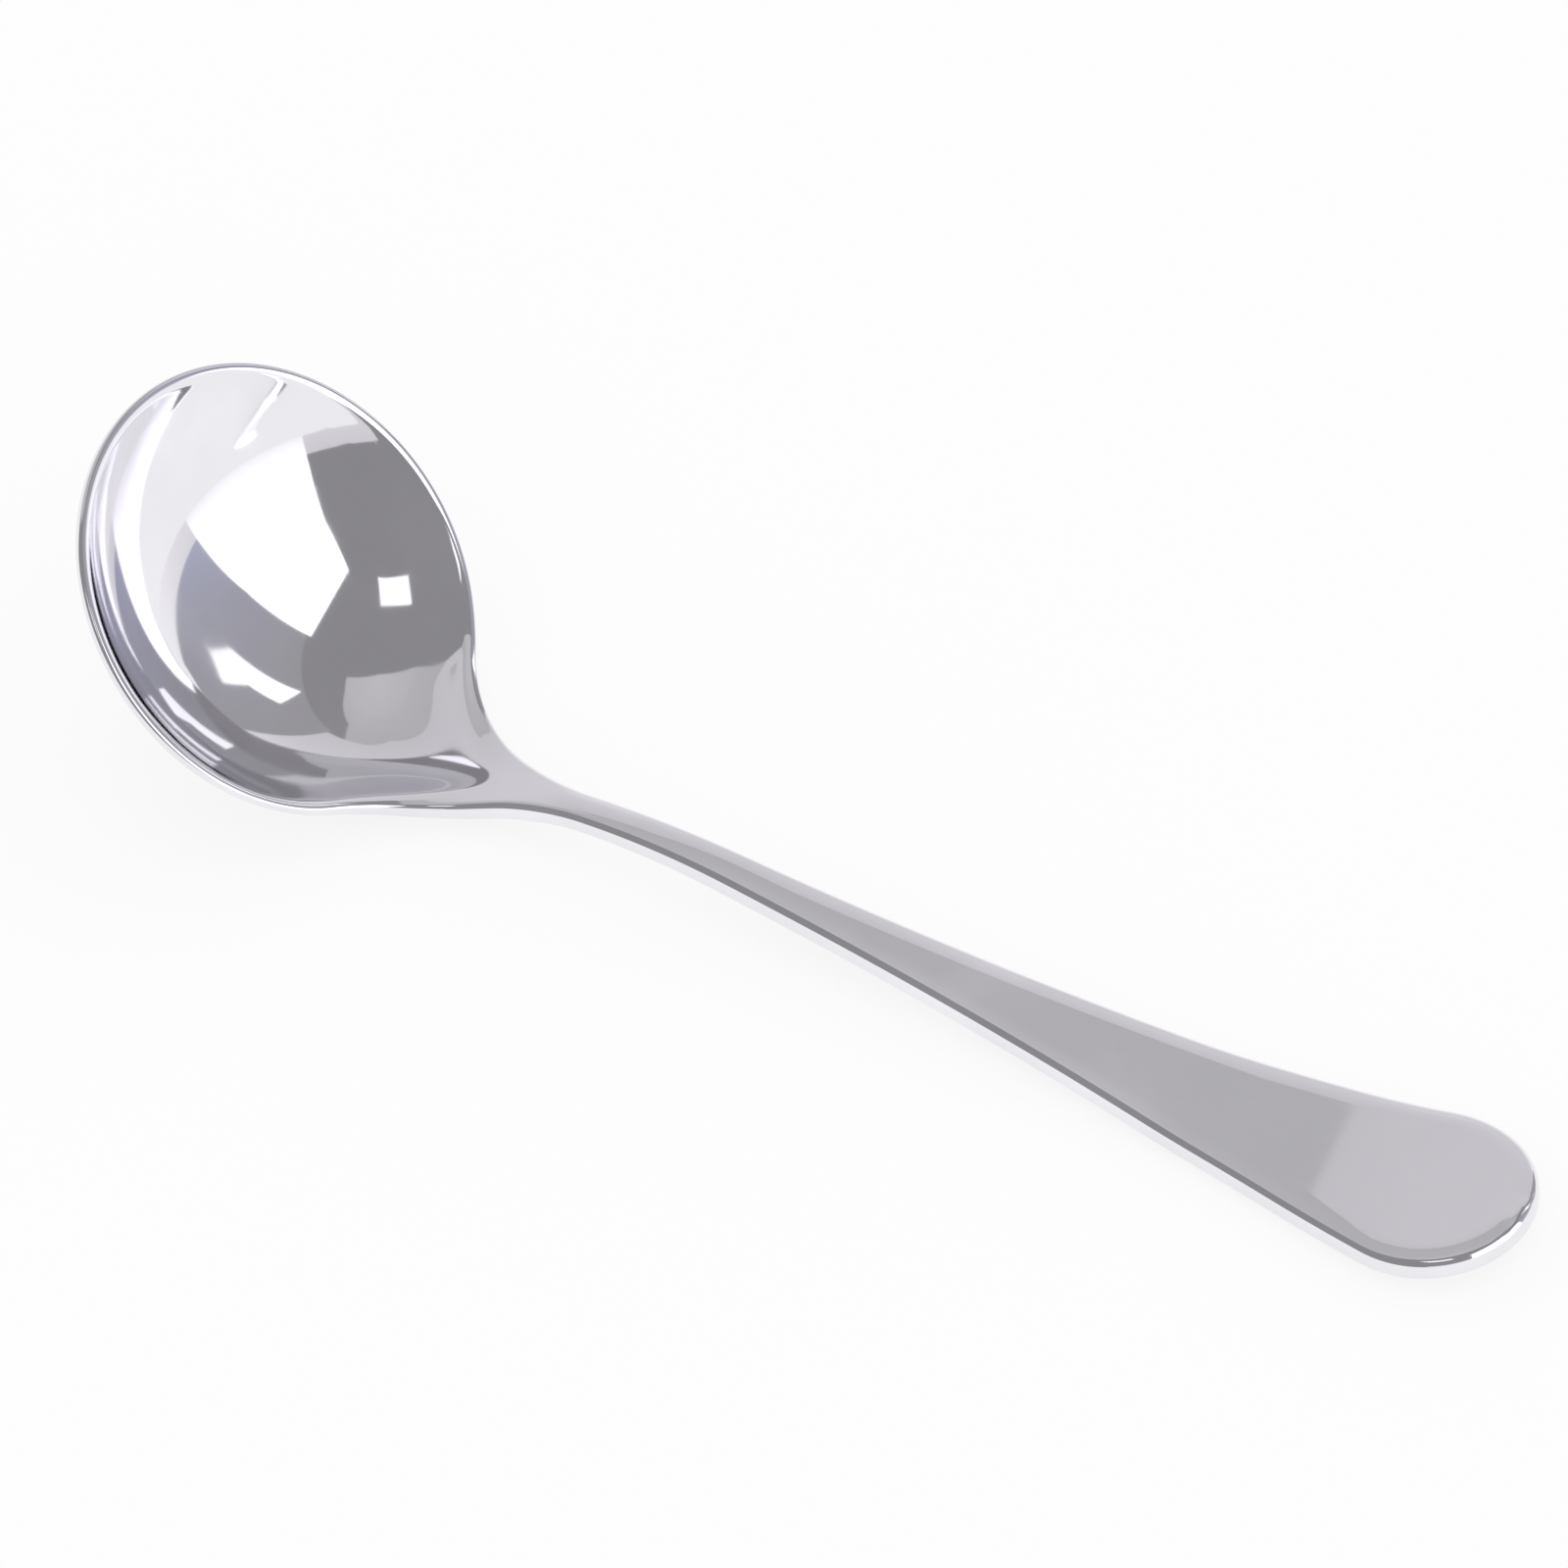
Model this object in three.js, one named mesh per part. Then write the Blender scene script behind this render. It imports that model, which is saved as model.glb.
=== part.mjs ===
// A tasting spoon with a round, tilted bowl and a slim arched handle, pressed from one steel blank.
// The bowl and the handle are two meshes that meet across the neck.
// Millimetres, +Z up. X runs from the bowl's tip to the handle's end, and the spoon lies on the plane Z = 0.
import * as THREE from "three";

// Bowl
const bowlDiameter = 45; // over the round rim
const bowlDepth = 10.2; // from the rim plane down to the inside
const bowlWall = 1.1;
const rimHeight = 1.07; // of the rounded outer edge
const rimRound = 0.35; // radius of both corners of that edge
const rimTilt = 43.1; // degrees between the rim plane and the table
const lipBlend = 0.5; // softness of the inner lip

// Heel, where the hollow runs out into the neck
const heelSetback = 6.65; // the bend starts this far before the round rim would close
const heelBendRadius = 13.1;
const heelReach = 7.4; // the hollow ends this far past the round rim
const heelLip = 6; // degrees by which the hollow's floor meets the neck more steeply than the neck climbs
const heelDepth = 0.65; // by which the hollow sags below a plain curve from the bowl to the neck
const soleDepth = 0.85; // by which the underside sags there
const heelEase = 1.1; // by which the hollow's sides ease out towards its end

// Neck and shoulders
const shoulderAngle = 54.7; // degrees past the widest point, where the outline leaves the round rim
const shoulderRadius = 25.3; // hollow curve that leads into the neck
const neckWidth = 3.84;
const neckThickness = 2.4;
const neckRise = 13.8; // degrees that the neck climbs

// Handle
const handleLength = 116.15; // past the round rim, along the side line
const handleThickness = 2.67;
const handleTaper = 18; // the neck's thickness grows to the handle's over this length
const handleEndWidth = 20.15;
const flareAngle = 11.3; // degrees between the handle's edge and its middle where the round end starts
const edgeRound = 0.9; // radius of the edge's corners
const crownWidth = 2.4; // the top rounds over this far in from the edge
const crownDrop = 0.35;
const archRadius = 87;
const restLength = 8; // flat stretch that lies on the table
const restBendRadius = 100;
const endCurlRadius = 91; // the end turns up
const endCurlLength = 21.5;

// Fineness
const rimSteps = 40;
const flankSteps = 2;
const shoulderSteps = 16;
const endSteps = 12;
const acrossSteps = 18;
const cornerSteps = 3;
const flareSpacing = 5;
const soleSamples = 400; // along the underside, to find its lowest point
const halvings = 50; // of an interval, to find where two lines meet

const steel = { color: 0xc9c9ce, metalness: 1, roughness: 0.14 };
const radians = THREE.MathUtils.degToRad;
const smoothstep = THREE.MathUtils.smoothstep;
const quarter = Math.PI / 2;
const tilt = radians(rimTilt);
const rise = radians(neckRise);
const shoulder = radians(shoulderAngle);
const flare = radians(flareAngle);

// The wall is the shell between two spheres about one centre, above the middle of the rim.
const rimRadius = bowlDiameter / 2;
const wallDrop = bowlDepth - rimHeight;
const innerRadius =
  ((rimRadius - rimRound) ** 2 + wallDrop ** 2 - bowlWall ** 2) / (2 * (bowlWall + wallDrop));
const outerRadius = innerRadius + bowlWall;
const centreHeight = innerRadius - bowlDepth;
const rimWidth = rimRadius - Math.sqrt(innerRadius ** 2 - centreHeight ** 2);

const spoonLength = bowlDiameter + handleLength;
const heelStart = bowlDiameter - heelSetback;
const heelEnd = bowlDiameter + heelReach;
const easeStart = (rimRadius + heelStart) / 2;

// Flat outline of one side, from the tip to the end: rim, flank, shoulder, flare and round end.
const neckHalf = neckWidth / 2;
const endRadius = handleEndWidth / 2;
const endMiddle = spoonLength - endRadius;
const shoulderAxis = neckHalf + shoulderRadius;
const rimLeaves = new THREE.Vector2(Math.sin(shoulder), Math.cos(shoulder))
  .multiplyScalar(rimRadius)
  .add(new THREE.Vector2(rimRadius, 0));
const shoulderFoot = shoulderAxis - shoulderRadius * Math.cos(shoulder);
const flankRun = (rimLeaves.y - shoulderFoot) / Math.tan(shoulder);
const shoulderStarts = new THREE.Vector2(rimLeaves.x + flankRun, shoulderFoot);
const neckAt = shoulderStarts.x + shoulderRadius * Math.sin(shoulder);
const endStarts = new THREE.Vector2(-Math.sin(flare), Math.cos(flare))
  .multiplyScalar(endRadius)
  .add(new THREE.Vector2(endMiddle, 0));
const flareTurns = endStarts.x - (endStarts.y - neckHalf) / Math.tan(flare);
const flareCurve = new THREE.QuadraticBezierCurve(
  new THREE.Vector2(neckAt, neckHalf),
  new THREE.Vector2(flareTurns, neckHalf),
  endStarts,
);

// Side line of the top: straight along the rim plane, up through the heel, over the arch, down to the flat
// stretch that lies on the table, and up at the end. Each stretch has a length and the angle that it turns.
function sideLine(rimMiddle, fall) {
  const rimPlane = { length: heelStart, turn: 0 };
  const heel = { length: (tilt + rise) * heelBendRadius, turn: tilt + rise };
  const arch = { length: (rise + fall) * archRadius, turn: -(rise + fall) };
  const straight = { length: 0, turn: 0 };
  const restBend = { length: Math.abs(fall) * restBendRadius, turn: fall };
  const rest = { length: restLength, turn: 0 };
  const curl = { length: endCurlLength, turn: endCurlLength / endCurlRadius };
  const stretches = [rimPlane, heel, arch, straight, restBend, rest, curl];
  straight.length = spoonLength - stretches.reduce((sum, stretch) => sum + stretch.length, 0);

  let start = { u: 0, x: 0, z: rimMiddle + rimRadius * Math.sin(tilt), angle: -tilt };
  for (const stretch of stretches) {
    stretch.start = start;
    start = { u: start.u + stretch.length, ...along(stretch, stretch.length) };
  }
  return { stretches, rest };
}

// Place and slope at a distance along one stretch, which is straight or an arc.
function along(stretch, distance) {
  const { x, z, angle } = stretch.start;
  if (stretch.turn === 0) {
    return { x: x + distance * Math.cos(angle), z: z + distance * Math.sin(angle), angle };
  }
  const radius = stretch.length / stretch.turn;
  const turned = angle + distance / radius;
  return {
    x: x + radius * (Math.sin(turned) - Math.sin(angle)),
    z: z - radius * (Math.cos(turned) - Math.cos(angle)),
    angle: turned,
  };
}

// Evenly spaced places on a curve, from 0 to 1 without the 0.
function evenly(steps) {
  return Array.from({ length: steps }, (_, step) => (step + 1) / steps);
}

// Where a test turns from true to false between two values.
function turningPoint(low, high, test) {
  for (let step = 0; step < halvings; step++) {
    const middle = (low + high) / 2;
    if (test(middle)) low = middle;
    else high = middle;
  }
  return high;
}

function sideAt(u) {
  const stretch = stretches.findLast((candidate) => candidate.start.u <= u) ?? stretches[0];
  return along(stretch, u - stretch.start.u);
}

// A point of the flat spoon (u along, y across, w above the side line), bent to its place in the side view.
function place(u, y, w) {
  const { x, z, angle } = sideAt(u);
  return new THREE.Vector3(x - w * Math.sin(angle), y, z + w * Math.cos(angle));
}

// Middle line of the hollow's floor or of the underside, in the side view: from below the rim's middle along
// one sagging curve to a point of the neck.
function floorLine(depth, end, slope, sag) {
  const start = place(rimRadius, 0, -depth);
  const run = end.x - start.x;
  return (x) => {
    const t = (x - start.x) / run;
    const rest = 1 - t;
    const descent = rest ** 2 * ((1 + 2 * t) * start.z - t * run * Math.tan(tilt));
    const ascent = t ** 2 * ((3 - 2 * t) * end.z - rest * run * slope);
    return descent + ascent - 16 * sag * (t * rest) ** 2;
  };
}
function soleLine() {
  const end = place(neckAt, 0, -neckThickness);
  const slope = Math.tan(sideAt(neckAt).angle);
  return { end, height: floorLine(bowlDepth + bowlWall, end, slope, soleDepth) };
}

// The rim's middle stands as high as lets the underside touch the table, and the handle falls from its arch
// by the angle that brings its flat stretch down to the table.
let stretches = sideLine(0, 0).stretches;
const rawSole = soleLine();
const soleStart = place(rimRadius, 0, -bowlDepth - bowlWall).x;
const soleRun = rawSole.end.x - soleStart;
const soleHeights = evenly(soleSamples).map((t) => rawSole.height(soleStart + t * soleRun));
const rimMiddle = -Math.min(...soleHeights);
const liesTooHigh = (angle) => sideLine(rimMiddle, angle).rest.start.z > handleThickness;
const fall = turningPoint(-rise / 2, rise, liesTooHigh);
stretches = sideLine(rimMiddle, fall).stretches;

const hollowFloor = floorLine(bowlDepth, place(heelEnd, 0, 0), Math.tan(rise + radians(heelLip)), heelDepth);
const bowlSole = soleLine().height;

function arc(x, y, radius, from, to, clockwise) {
  return new THREE.EllipseCurve(x, y, radius, radius, from, to, clockwise);
}

// Places on the flare that fall on the ends of the side line's stretches, and evenly between them.
function flarePlaces() {
  const ends = stretches.map((stretch) => stretch.start.u);
  const stops = ends.filter((u) => u > neckAt && u < endStarts.x).concat(endStarts.x);
  let last = neckAt;
  const places = [];
  for (const stop of stops) {
    const from = last;
    for (const share of evenly(Math.ceil((stop - from) / flareSpacing))) {
      const u = from + share * (stop - from);
      places.push(turningPoint(0, 1, (t) => flareCurve.getPoint(t).x < u));
    }
    last = stop;
  }
  return places;
}

const outline = [
  {
    curve: arc(rimRadius, 0, rimRadius, 2 * quarter, quarter - shoulder, true),
    at: [0, ...evenly(rimSteps)],
  },
  { curve: new THREE.LineCurve(rimLeaves, shoulderStarts), at: evenly(flankSteps) },
  {
    curve: arc(neckAt, shoulderAxis, shoulderRadius, 3 * quarter - shoulder, 3 * quarter, false),
    at: evenly(shoulderSteps),
  },
  { curve: flareCurve, at: flarePlaces() },
  { curve: arc(endMiddle, 0, endRadius, quarter + flare, 0, true), at: evenly(endSteps) },
];

// Rows across the spoon, one for each point of the outline, with the outline's outward direction there.
function outlineRows() {
  const rows = outline.flatMap(({ curve, at }) =>
    at.map((t) => {
      const point = curve.getPoint(t);
      const tangent = curve.getTangent(t);
      return { u: point.x, half: point.y, outU: -tangent.y, outY: tangent.x };
    }),
  );
  Object.assign(rows[0], { half: 0, outU: -1, outY: 0 });
  Object.assign(rows[rows.length - 1], { half: 0, outU: 1, outY: 0 });
  return rows;
}

// Half width of the hollow: the outline over the bowl and heel, drawn in by the rim and closed at its end.
function hollowHalf(u) {
  const circle = rimRadius - rimWidth;
  const bend = shoulderRadius + rimWidth;
  const bendStart = neckAt - bend * Math.sin(shoulder);
  const run = THREE.MathUtils.clamp((u - heelStart) / (heelEnd - heelStart), 0, 1);
  const closing = Math.sqrt(1 - run ** 3);
  if (u < rimRadius + circle * Math.sin(shoulder)) return Math.sqrt(circle ** 2 - (u - rimRadius) ** 2);
  if (u > bendStart) return closing * (shoulderAxis - Math.sqrt(bend ** 2 - Math.min(u - neckAt, 0) ** 2));
  return closing * (shoulderAxis - bend * Math.cos(shoulder) + (bendStart - u) * Math.tan(shoulder));
}

// Depth below the side line at which a floor line passes.
function depthTo(line, u) {
  return turningPoint(0, bowlDepth + outerRadius, (depth) => {
    const point = place(u, 0, -depth);
    return point.z > line(point.x);
  });
}

// Depth below the rim plane of a sphere about the bowl's centre.
function sphereDepth(radius, u, y) {
  const reach = Math.min(Math.hypot(u - rimRadius, y), radius);
  return Math.sqrt(radius ** 2 - reach ** 2) - centreHeight;
}

// Depth of an arc across the spoon that spans a half width and sags in the middle.
function arcDepth(half, sag, y) {
  if (half === 0 || sag === 0) return 0;
  const radius = (half ** 2 + sag ** 2) / (2 * sag);
  const rest = Math.sqrt(Math.max(radius ** 2 - y ** 2, 0));
  return (half ** 2 - y ** 2) / (radius - sag + Math.sign(sag) * rest);
}

// The larger of two depths, with the crease between them rounded.
function softMax(a, b, softness) {
  const overlap = softness > 0 ? Math.max(1 - Math.abs(a - b) / softness, 0) : 0;
  return Math.max(a, b) + (overlap * overlap * softness) / 4;
}

// Depth of the top at a row, across the spoon: the bowl's hollow and the handle's rounded-over edges.
function topAcross(row, u) {
  const inBowl = u < rimRadius;
  const half = inBowl ? 0 : hollowHalf(u);
  const floor = inBowl || u > heelEnd ? 0 : depthTo(hollowFloor, u);
  const ease = heelEase * smoothstep(u, easeStart, heelEnd);
  const channel = (y) => {
    const depth = arcDepth(half, floor, y);
    return depth > 0 ? depth * (1 - (y / half) ** 2) ** ease : depth;
  };
  const softness = lipBlend * (1 - smoothstep(u, heelStart, heelEnd));
  const width = Math.min(crownWidth, row.half);
  const drop = crownDrop * smoothstep(u, heelEnd, neckAt);
  return (y) => {
    const hollow = inBowl ? sphereDepth(innerRadius, u, y) : channel(y);
    const side = (row.half - Math.abs(y)) * row.outY;
    const gap = u > endMiddle ? endRadius - Math.hypot(u - endMiddle, y) : side;
    const over = width > 0 ? Math.max(1 - gap / width, 0) : 1;
    return softMax(hollow, 0, softness) + drop * over * over;
  };
}

// Depth of the underside at a row, across the spoon.
function underAcross(u, half) {
  if (u < rimRadius) return (y) => sphereDepth(outerRadius, u, y);
  const necked = (neckThickness - rimHeight) * smoothstep(u, easeStart, neckAt);
  const swelled = (handleThickness - neckThickness) * smoothstep(u, neckAt, neckAt + handleTaper);
  const edge = rimHeight + necked + swelled;
  const sag = u < neckAt ? depthTo(bowlSole, u) - edge : 0;
  return (y) => edge + arcDepth(half, sag, y);
}

// Ring of points round the spoon at one row: along the top, down one edge, back along the underside
// and up the other edge.
function ringAt(row) {
  const round = THREE.MathUtils.lerp(rimRound, edgeRound, smoothstep(row.u, heelStart, neckAt));
  const u = row.u - round * row.outU;
  const half = Math.max(row.half - round * row.outY, 0);
  const topDepth = topAcross(row, u);
  const underDepth = underAcross(u, half);
  const top = [];
  const under = [];
  for (let step = 0; step <= acrossSteps; step++) {
    const y = half * Math.sin(quarter * ((2 * step) / acrossSteps - 1));
    top.push(place(u, y, -topDepth(y)));
    under.push(place(u, y, -underDepth(y)));
  }
  const right = [];
  const left = [];
  const addCorner = (turned, middle) => {
    const inset = round * (1 - Math.sin(turned));
    const depth = middle - round * Math.cos(turned);
    const across = Math.max(row.half - inset * row.outY, 0);
    right.push(place(row.u - inset * row.outU, across, -depth));
    left.push(place(row.u - inset * row.outU, -across, -depth));
  };
  for (const share of evenly(cornerSteps)) addCorner(quarter * share, topDepth(half) + round);
  for (const share of evenly(cornerSteps).reverse()) {
    addCorner(quarter * (2 - share), underDepth(half) - round);
  }
  return [...top, ...right, ...under.reverse(), ...left.reverse()];
}

// Closed body over a run of rings, with a flat face across the neck.
function bodyOver(rings, name) {
  const positions = [];
  const known = new Map();
  const indexOf = (point) => {
    const key = point.toArray().map((value) => value.toFixed(5)).join();
    if (!known.has(key)) {
      known.set(key, positions.length / 3);
      positions.push(point.x, point.y, point.z);
    }
    return known.get(key);
  };
  const faces = [];
  const addFace = (a, b, c) => {
    if (a !== b && b !== c && c !== a) faces.push(a, b, c);
  };
  const loops = rings.map((ring) => ring.map(indexOf));
  const count = loops[0].length;
  for (let row = 0; row + 1 < loops.length; row++) {
    for (let step = 0; step < count; step++) {
      const next = (step + 1) % count;
      addFace(loops[row][step], loops[row + 1][step], loops[row + 1][next]);
      addFace(loops[row][step], loops[row + 1][next], loops[row][next]);
    }
  }
  closeRing(loops[0], (a, b, c) => addFace(a, c, b));
  closeRing(loops[loops.length - 1], addFace);

  const geometry = new THREE.BufferGeometry();
  geometry.setAttribute("position", new THREE.Float32BufferAttribute(positions, 3));
  geometry.setIndex(faces);
  geometry.computeVertexNormals();
  const mesh = new THREE.Mesh(geometry, new THREE.MeshStandardMaterial(steel));
  mesh.name = name;
  return mesh;
}

// Flat face over a ring: strips between its top and underside, and a fan over each edge.
// At the tip and the end the ring is one upright line, and its faces vanish.
function closeRing(loop, addFace) {
  const underStart = acrossSteps + 1 + 2 * cornerSteps;
  const underAt = (step) => loop[underStart + acrossSteps - step];
  if (loop[0] === loop[acrossSteps]) return;
  for (let step = 0; step < acrossSteps; step++) {
    addFace(loop[step], underAt(step), underAt(step + 1));
    addFace(loop[step], underAt(step + 1), loop[step + 1]);
  }
  for (let step = acrossSteps + 1; step < underStart; step++) {
    addFace(loop[acrossSteps], loop[step + 1], loop[step]);
  }
  for (let step = underStart + acrossSteps; step + 1 < loop.length; step++) {
    addFace(loop[0], loop[step + 1], loop[step]);
  }
}

const rings = outlineRows().map(ringAt);
const neckRow = rimSteps + flankSteps + shoulderSteps;
const spoon = new THREE.Group();
spoon.add(bodyOver(rings.slice(0, neckRow + 1), "bowl"));
spoon.add(bodyOver(rings.slice(neckRow), "handle"));

// The origin lies on the table, under the middle of the spoon's length.
const bounds = new THREE.Box3().setFromObject(spoon);
const middle = bounds.getCenter(new THREE.Vector3());
for (const mesh of spoon.children) mesh.geometry.translate(-middle.x, 0, -bounds.min.z);

export default spoon;
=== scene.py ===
"""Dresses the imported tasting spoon: one seamless pressed spoon of polished steel on a pale studio stage."""
import math

import bpy
import numpy as np
from bpy.props import FloatProperty, FloatVectorProperty, PointerProperty
from mathutils import Matrix, Vector


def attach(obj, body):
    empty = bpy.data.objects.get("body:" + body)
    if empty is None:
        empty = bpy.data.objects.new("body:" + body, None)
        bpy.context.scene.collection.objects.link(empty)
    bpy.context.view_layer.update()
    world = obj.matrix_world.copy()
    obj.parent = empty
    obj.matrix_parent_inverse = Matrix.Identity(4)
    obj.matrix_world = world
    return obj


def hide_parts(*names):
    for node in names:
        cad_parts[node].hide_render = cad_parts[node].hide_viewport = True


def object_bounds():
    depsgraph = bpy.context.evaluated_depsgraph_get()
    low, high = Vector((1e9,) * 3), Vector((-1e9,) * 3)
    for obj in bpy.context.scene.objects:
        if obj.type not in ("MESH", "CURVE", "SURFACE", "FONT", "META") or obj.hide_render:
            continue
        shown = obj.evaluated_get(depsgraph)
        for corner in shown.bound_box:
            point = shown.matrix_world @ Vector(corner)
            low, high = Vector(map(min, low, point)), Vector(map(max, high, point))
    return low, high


bl_info = {
    "name": "Tasting spoon",
    "version": (1, 0, 0),
    "blender": (4, 5, 0),
    "location": "3D View > Sidebar > Spoon",
    "description": "Presses a round-bowled tasting spoon of polished steel and sets it on a studio stage",
    "category": "Object",
}

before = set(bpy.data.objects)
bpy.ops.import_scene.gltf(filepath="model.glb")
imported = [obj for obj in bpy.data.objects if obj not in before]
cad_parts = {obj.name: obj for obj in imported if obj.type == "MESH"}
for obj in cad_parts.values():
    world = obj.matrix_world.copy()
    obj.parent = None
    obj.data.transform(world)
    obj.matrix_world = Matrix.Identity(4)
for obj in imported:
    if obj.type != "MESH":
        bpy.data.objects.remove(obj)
cad_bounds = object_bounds()

MM = 0.001
TINY = 1e-9

# What the steel mirrors. Each card has its four corners in order, as degrees round the bowl from +X and
# degrees up, the glow at each of them, and its distance in metres.
BLUISH = (0.46, 0.48, 0.6)
ROOM_CORNERS = ((-180, -5), (180, -5), (180, 90), (-180, 90))
ROOM_DISTANCE = 3.2
WALLS = {
    "far wall foot": (((80, -1), (196, -1), (196, 26), (80, 26)), (1.0, 1.0, 0.7, 0.7), 2.9),
    "far wall left": (((80, 26), (113, 26), (113, 47.4), (88, 45)), (0.7, 0.7, 0.63, 0.63), 2.9),
    "far wall middle": (((113, 26), (130, 26), (130, 53.5), (113, 47.4)), (0.7, 0.7, 0.62, 0.63), 2.9),
    "far wall right": (((130, 26), (196, 26), (196, 51), (130, 53.5)), (0.7, 0.7, 0.62, 0.62), 2.9),
    "far ceiling left": (((99, 46), (113, 47.4), (113, 58), (91, 58)), (0.5, 0.5, 0.51, 0.51), 2.9),
    "far ceiling middle": (((113, 47.4), (130, 53.5), (130, 58), (113, 58)), (0.5, 0.5, 0.51, 0.51), 2.9),
    "far ceiling right": (((130, 53.5), (196, 51), (200, 58), (130, 58)), (0.5, 0.5, 0.51, 0.51), 2.9),
    "mid ceiling": (((91, 58), (200, 58), (208, 68.5), (57, 68.5)), (0.51, 0.51, 0.53, 0.53), 2.9),
    "ceiling edge": (((57, 68.5), (208, 68.5), (209, 71), (39, 71)), (0.53, 0.53, 0.55, 0.55), 2.9),
    "ceiling over the bowl": (((39, 71), (209, 71), (212, 90), (39, 90)), (0.55, 0.55, 0.6, 0.6), 2.9),
    "side wall": (((26, 6), (81, 6), (88, 47), (20, 50)), (BLUISH, 0.36, 0.36, 0.36), 2.8),
    "near sweep": (((-64, -1), (-25, -1), (-25, 7.5), (-64, 7.5)), (0.78, 0.78, 0.72, 0.72), 2.6),
    "far sweep": (((27, -1), (82, -1), (82, 7.5), (27, 7.5)), (0.85, 1.05, 1.05, 0.78), 2.6),
}
LAMPS = {
    "softbox foot": (((-26, -1), (28, -1), (27, 12), (-26.5, 12)), (1.05, 1.05, 1.6, 1.6), 2.5),
    "softbox": (((-26.5, 12), (27, 12), (26.5, 35), (-26.5, 35)), (1.6, 1.6, 1.65, 1.65), 2.5),
    "softbox top": (((-26.5, 35), (26.5, 35), (20, 51.5), (-27, 48)), (1.65,) * 4, 2.5),
    "lamp arm": (((66.4, 17.8), (58.4, 19.3), (51.5, 26.2), (61.5, 26.9)), (1.3,) * 4, 2.5),
    "lamp head": (((61.5, 26.9), (51.5, 26.2), (56.1, 47), (65.5, 36)), (1.3,) * 4, 2.5),
    "ceiling lamp": (((-74.9, 54.4), (-45.7, 52.8), (-50.1, 64.9), (-93.7, 63.9)), (1.35,) * 4, 2.5),
}


def length(name, millimetres, description):
    metres = millimetres * MM
    return FloatProperty(name=name, description=description, default=metres, unit="LENGTH", precision=5)


def angle(name, degrees, description):
    return FloatProperty(name=name, description=description, default=math.radians(degrees), subtype="ANGLE")


def share(name, value, description):
    return FloatProperty(name=name, description=description, default=value, subtype="FACTOR", min=0, max=1)


def colour(name, value, description):
    limits = {"subtype": "COLOR", "min": 0, "max": 1}
    return FloatVectorProperty(name=name, description=description, default=value, **limits)


class SpoonBowlSizes(bpy.types.PropertyGroup):
    """Sizes of the bowl and its heel."""

    diameter: length("Diameter", 45, "Over the round rim")
    depth: length("Depth", 10.2, "From the rim plane down to the inside")
    wall: length("Wall", 1.1, "Thickness of the wall")
    rim_height: length("Rim height", 1.07, "Height of the rounded outer edge")
    rim_round: length("Rim rounding", 0.35, "Radius of both corners of the outer edge")
    rim_tilt: angle("Rim tilt", 43.1, "Between the rim plane and the table")
    lip_blend: length("Lip softness", 0.5, "Softness of the inner lip")
    heel_setback: length("Heel setback", 6.65, "Of the heel's bend before the round rim would close")
    heel_radius: length("Heel bend radius", 13.1, "Radius of the bend at the heel")
    heel_reach: length("Heel reach", 8.37, "The hollow ends this far past the round rim")
    heel_lip: angle("Heel lip", -2.4, "By which the hollow's floor ends more steeply than the neck climbs")
    heel_depth: length("Heel depth", 1.27, "By which the hollow sags on its way to the neck")
    sole_depth: length("Sole depth", 0.85, "By which the underside sags there")
    heel_ease: FloatProperty(name="Heel ease", description="Eases the sides of the heel", default=0.65)
    heel_blend: length("Heel softness", 0.05, "Softness of the hollow's end")


class SpoonHandleSizes(bpy.types.PropertyGroup):
    """Sizes of the shoulders, the neck and the handle."""

    shoulder_angle: angle("Shoulder angle", 54.7, "Past the widest point, where the outline leaves the rim")
    shoulder_radius: length("Shoulder radius", 25.3, "Hollow curve that leads into the neck")
    neck_width: length("Neck width", 3.84, "At the narrowest place")
    neck_thickness: length("Neck thickness", 2.4, "At the narrowest place")
    neck_rise: angle("Neck rise", 13.8, "By which the neck climbs")
    length: length("Length", 116.15, "Past the round rim, along the side line")
    thickness: length("Thickness", 2.67, "Of the handle")
    taper: length("Taper", 18, "The neck's thickness grows to the handle's over this length")
    end_width: length("End width", 20.15, "Over the round end")
    flare_angle: angle("Flare", 11.3, "Between the handle's edge and its middle where the round end starts")
    edge_round: length("Edge rounding", 0.9, "Radius of the edge's corners")
    crown_width: length("Crown width", 2.4, "The top rounds over this far in from the edge")
    crown_drop: length("Crown drop", 0.45, "By which the top falls towards its edge")
    arch_radius: length("Arch radius", 87, "Radius of the arch behind the neck")
    rest_length: length("Rest length", 8, "Flat stretch that lies on the table")
    rest_radius: length("Rest bend radius", 100, "Bend into the flat stretch")
    curl_radius: length("Curl radius", 91, "The end turns up")
    curl_length: length("Curl length", 21.5, "Stretch that turns up")
    bend_blend: length("Bend softness", 5, "Each bend of the side line runs into the next over this length")


class SpoonSteelLook(bpy.types.PropertyGroup):
    """Look of the polished steel."""

    tint: colour("Tint", (0.845, 0.838, 0.872), "Colour of the steel")
    roughness: share("Roughness", 0.05, "Of the clean polished surface")
    smudge: share("Smudge", 0.05, "Added roughness where the polish is dull")
    scratch: share("Scratch", 0.06, "Added roughness along fine polishing lines")
    wave_height: length("Wave height", 0.004, "Height of the slow waves that polishing leaves")
    wave_size: length("Wave size", 9, "Width of those waves")


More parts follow.
